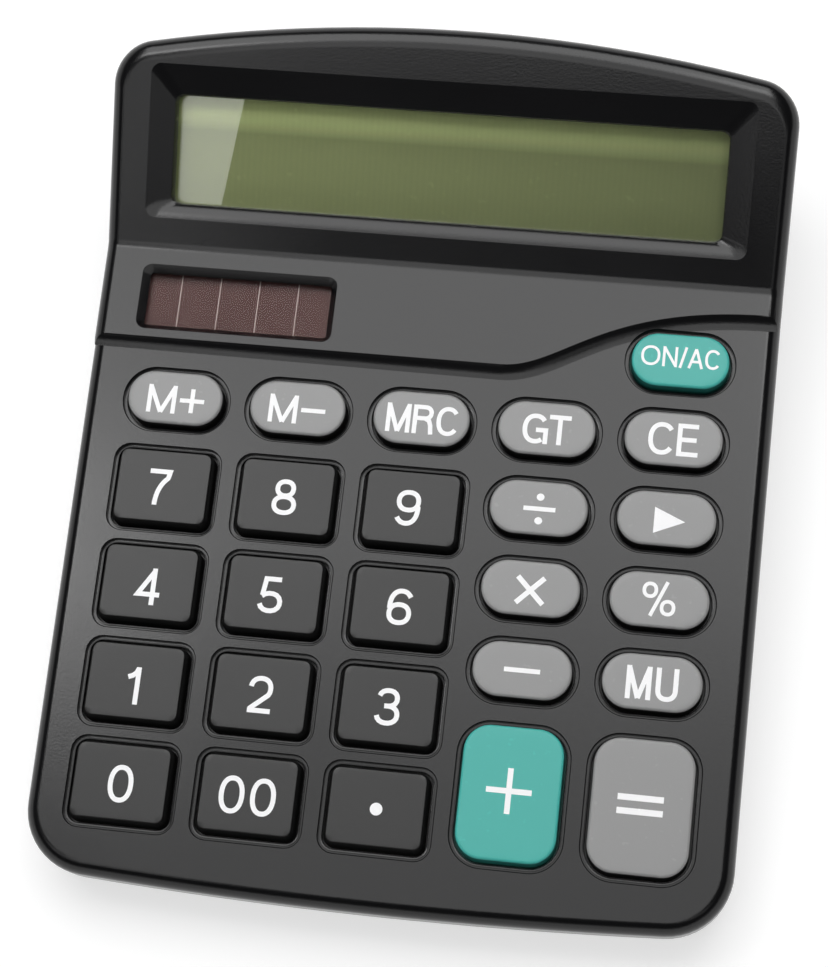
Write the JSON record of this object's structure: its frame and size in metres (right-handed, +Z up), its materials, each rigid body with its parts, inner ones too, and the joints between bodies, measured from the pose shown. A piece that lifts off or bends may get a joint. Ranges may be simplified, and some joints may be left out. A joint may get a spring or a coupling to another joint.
{
  "type": "electronic calculator",
  "caption": "Wedge-shaped desk calculator with a raised, sloping display head, a solar cell, sprung keys in five columns and a sliding battery door.",
  "frame": {"origin": "on the desk under the middle of the case", "axes": "+X to the right of the person using it, +Y towards the display, +Z up"},
  "size_m": [0.1166, 0.1464, 0.0412],
  "materials": {
    "case": "fine satin moulded black",
    "key_black": "satin black",
    "key_grey": "satin mid grey",
    "key_teal": "satin teal green",
    "lens": "clear gloss",
    "display": "grey-green liquid crystal panel",
    "solar": "dark brown cell with fine lines",
    "keypad_rubber": "matt grey silicone",
    "foot_rubber": "matt black rubber",
    "board": "green solder mask",
    "epoxy": "black epoxy bead",
    "steel": "zinc-plated",
    "ribbon": "amber film",
    "battery_wrap": "printed wrap, plain blue"
  },
  "bodies": {
    "case": {"top_cover": "case", "solar_window": "lens", "solar_cell": "solar", "keypad_membrane": "keypad_rubber", "circuit_board": "board", "controller_chip": "epoxy", "capacitor": "steel", "display_ribbon": "ribbon", "case_screw_1": "steel", "case_screw_2": "steel", "case_screw_3": "steel", "case_screw_4": "steel", "board_screw_1": "steel", "board_screw_2": "steel", "board_screw_3": "steel", "board_screw_4": "steel", "board_screw_5": "steel", "board_screw_6": "steel", "display_window": "lens", "lcd_panel": "display", "bottom_cover": "case", "foot_front_left": "foot_rubber", "foot_rear_left": "foot_rubber", "foot_front_right": "foot_rubber", "foot_rear_right": "foot_rubber", "battery": "battery_wrap", "contact_spring": "steel", "contact_plate": "steel"},
    "key_0": {"key_0": "key_black"},
    "key_00": {"key_00": "key_black"},
    "key_point": {"key_point": "key_black"},
    "key_1": {"key_1": "key_black"},
    "key_2": {"key_2": "key_black"},
    "key_3": {"key_3": "key_black"},
    "key_4": {"key_4": "key_black"},
    "key_5": {"key_5": "key_black"},
    "key_6": {"key_6": "key_black"},
    "key_7": {"key_7": "key_black"},
    "key_8": {"key_8": "key_black"},
    "key_9": {"key_9": "key_black"},
    "key_memory_plus": {"key_memory_plus": "key_grey"},
    "key_memory_minus": {"key_memory_minus": "key_grey"},
    "key_memory_recall": {"key_memory_recall": "key_grey"},
    "key_grand_total": {"key_grand_total": "key_grey"},
    "key_clear_entry": {"key_clear_entry": "key_grey"},
    "key_divide": {"key_divide": "key_grey"},
    "key_backspace": {"key_backspace": "key_grey"},
    "key_multiply": {"key_multiply": "key_grey"},
    "key_percent": {"key_percent": "key_grey"},
    "key_minus": {"key_minus": "key_grey"},
    "key_markup": {"key_markup": "key_grey"},
    "key_on_clear": {"key_on_clear": "key_teal"},
    "key_plus": {"key_plus": "key_teal"},
    "key_equals": {"key_equals": "key_grey"},
    "battery_door": {"battery_door": "case"}
  },
  "joints": [
    {"name": "key_0_press", "type": "slide", "parent": "case", "child": "key_0", "axis": [0, 0.0785, -0.9969], "range_m": [0, 0.0013], "stiffness_N_per_m": 400, "deforming": ["keypad_membrane"]},
    {"name": "key_00_press", "type": "slide", "parent": "case", "child": "key_00", "axis": [0, 0.0785, -0.9969], "range_m": [0, 0.0013], "stiffness_N_per_m": 400, "deforming": ["keypad_membrane"]},
    {"name": "key_point_press", "type": "slide", "parent": "case", "child": "key_point", "axis": [0, 0.0785, -0.9969], "range_m": [0, 0.0013], "stiffness_N_per_m": 400, "deforming": ["keypad_membrane"]},
    {"name": "key_1_press", "type": "slide", "parent": "case", "child": "key_1", "axis": [0, 0.0785, -0.9969], "range_m": [0, 0.0013], "stiffness_N_per_m": 400, "deforming": ["keypad_membrane"]},
    {"name": "key_2_press", "type": "slide", "parent": "case", "child": "key_2", "axis": [0, 0.0785, -0.9969], "range_m": [0, 0.0013], "stiffness_N_per_m": 400, "deforming": ["keypad_membrane"]},
    {"name": "key_3_press", "type": "slide", "parent": "case", "child": "key_3", "axis": [0, 0.0785, -0.9969], "range_m": [0, 0.0013], "stiffness_N_per_m": 400, "deforming": ["keypad_membrane"]},
    {"name": "key_4_press", "type": "slide", "parent": "case", "child": "key_4", "axis": [0, 0.0785, -0.9969], "range_m": [0, 0.0013], "stiffness_N_per_m": 400, "deforming": ["keypad_membrane"]},
    {"name": "key_5_press", "type": "slide", "parent": "case", "child": "key_5", "axis": [0, 0.0785, -0.9969], "range_m": [0, 0.0013], "stiffness_N_per_m": 400, "deforming": ["keypad_membrane"]},
    {"name": "key_6_press", "type": "slide", "parent": "case", "child": "key_6", "axis": [0, 0.0785, -0.9969], "range_m": [0, 0.0013], "stiffness_N_per_m": 400, "deforming": ["keypad_membrane"]},
    {"name": "key_7_press", "type": "slide", "parent": "case", "child": "key_7", "axis": [0, 0.0785, -0.9969], "range_m": [0, 0.0013], "stiffness_N_per_m": 400, "deforming": ["keypad_membrane"]},
    {"name": "key_8_press", "type": "slide", "parent": "case", "child": "key_8", "axis": [0, 0.0785, -0.9969], "range_m": [0, 0.0013], "stiffness_N_per_m": 400, "deforming": ["keypad_membrane"]},
    {"name": "key_9_press", "type": "slide", "parent": "case", "child": "key_9", "axis": [0, 0.0785, -0.9969], "range_m": [0, 0.0013], "stiffness_N_per_m": 400, "deforming": ["keypad_membrane"]},
    {"name": "key_memory_plus_press", "type": "slide", "parent": "case", "child": "key_memory_plus", "axis": [0, 0.0785, -0.9969], "range_m": [0, 0.0013], "stiffness_N_per_m": 400, "deforming": ["keypad_membrane"]},
    {"name": "key_memory_minus_press", "type": "slide", "parent": "case", "child": "key_memory_minus", "axis": [0, 0.0785, -0.9969], "range_m": [0, 0.0013], "stiffness_N_per_m": 400, "deforming": ["keypad_membrane"]},
    {"name": "key_memory_recall_press", "type": "slide", "parent": "case", "child": "key_memory_recall", "axis": [0, 0.0785, -0.9969], "range_m": [0, 0.0013], "stiffness_N_per_m": 400, "deforming": ["keypad_membrane"]},
    {"name": "key_grand_total_press", "type": "slide", "parent": "case", "child": "key_grand_total", "axis": [0, 0.0785, -0.9969], "range_m": [0, 0.0013], "stiffness_N_per_m": 400, "deforming": ["keypad_membrane"]},
    {"name": "key_clear_entry_press", "type": "slide", "parent": "case", "child": "key_clear_entry", "axis": [0, 0.0785, -0.9969], "range_m": [0, 0.0013], "stiffness_N_per_m": 400, "deforming": ["keypad_membrane"]},
    {"name": "key_divide_press", "type": "slide", "parent": "case", "child": "key_divide", "axis": [0, 0.0785, -0.9969], "range_m": [0, 0.0013], "stiffness_N_per_m": 400, "deforming": ["keypad_membrane"]},
    {"name": "key_backspace_press", "type": "slide", "parent": "case", "child": "key_backspace", "axis": [0, 0.0785, -0.9969], "range_m": [0, 0.0013], "stiffness_N_per_m": 400, "deforming": ["keypad_membrane"]},
    {"name": "key_multiply_press", "type": "slide", "parent": "case", "child": "key_multiply", "axis": [0, 0.0785, -0.9969], "range_m": [0, 0.0013], "stiffness_N_per_m": 400, "deforming": ["keypad_membrane"]},
    {"name": "key_percent_press", "type": "slide", "parent": "case", "child": "key_percent", "axis": [0, 0.0785, -0.9969], "range_m": [0, 0.0013], "stiffness_N_per_m": 400, "deforming": ["keypad_membrane"]},
    {"name": "key_minus_press", "type": "slide", "parent": "case", "child": "key_minus", "axis": [0, 0.0785, -0.9969], "range_m": [0, 0.0013], "stiffness_N_per_m": 400, "deforming": ["keypad_membrane"]},
    {"name": "key_markup_press", "type": "slide", "parent": "case", "child": "key_markup", "axis": [0, 0.0785, -0.9969], "range_m": [0, 0.0013], "stiffness_N_per_m": 400, "deforming": ["keypad_membrane"]},
    {"name": "key_on_clear_press", "type": "slide", "parent": "case", "child": "key_on_clear", "axis": [0, 0.0785, -0.9969], "range_m": [0, 0.0013], "stiffness_N_per_m": 400, "deforming": ["keypad_membrane"]},
    {"name": "key_plus_press", "type": "slide", "parent": "case", "child": "key_plus", "axis": [0, 0.0785, -0.9969], "range_m": [0, 0.0013], "stiffness_N_per_m": 400, "deforming": ["keypad_membrane"]},
    {"name": "key_equals_press", "type": "slide", "parent": "case", "child": "key_equals", "axis": [0, 0.0785, -0.9969], "range_m": [0, 0.0013], "stiffness_N_per_m": 400, "deforming": ["keypad_membrane"]},
    {"name": "battery_door_slide", "type": "slide", "parent": "case", "child": "battery_door", "axis": [0, 1, 0], "range_m": [0, 0.02]}
  ]
}
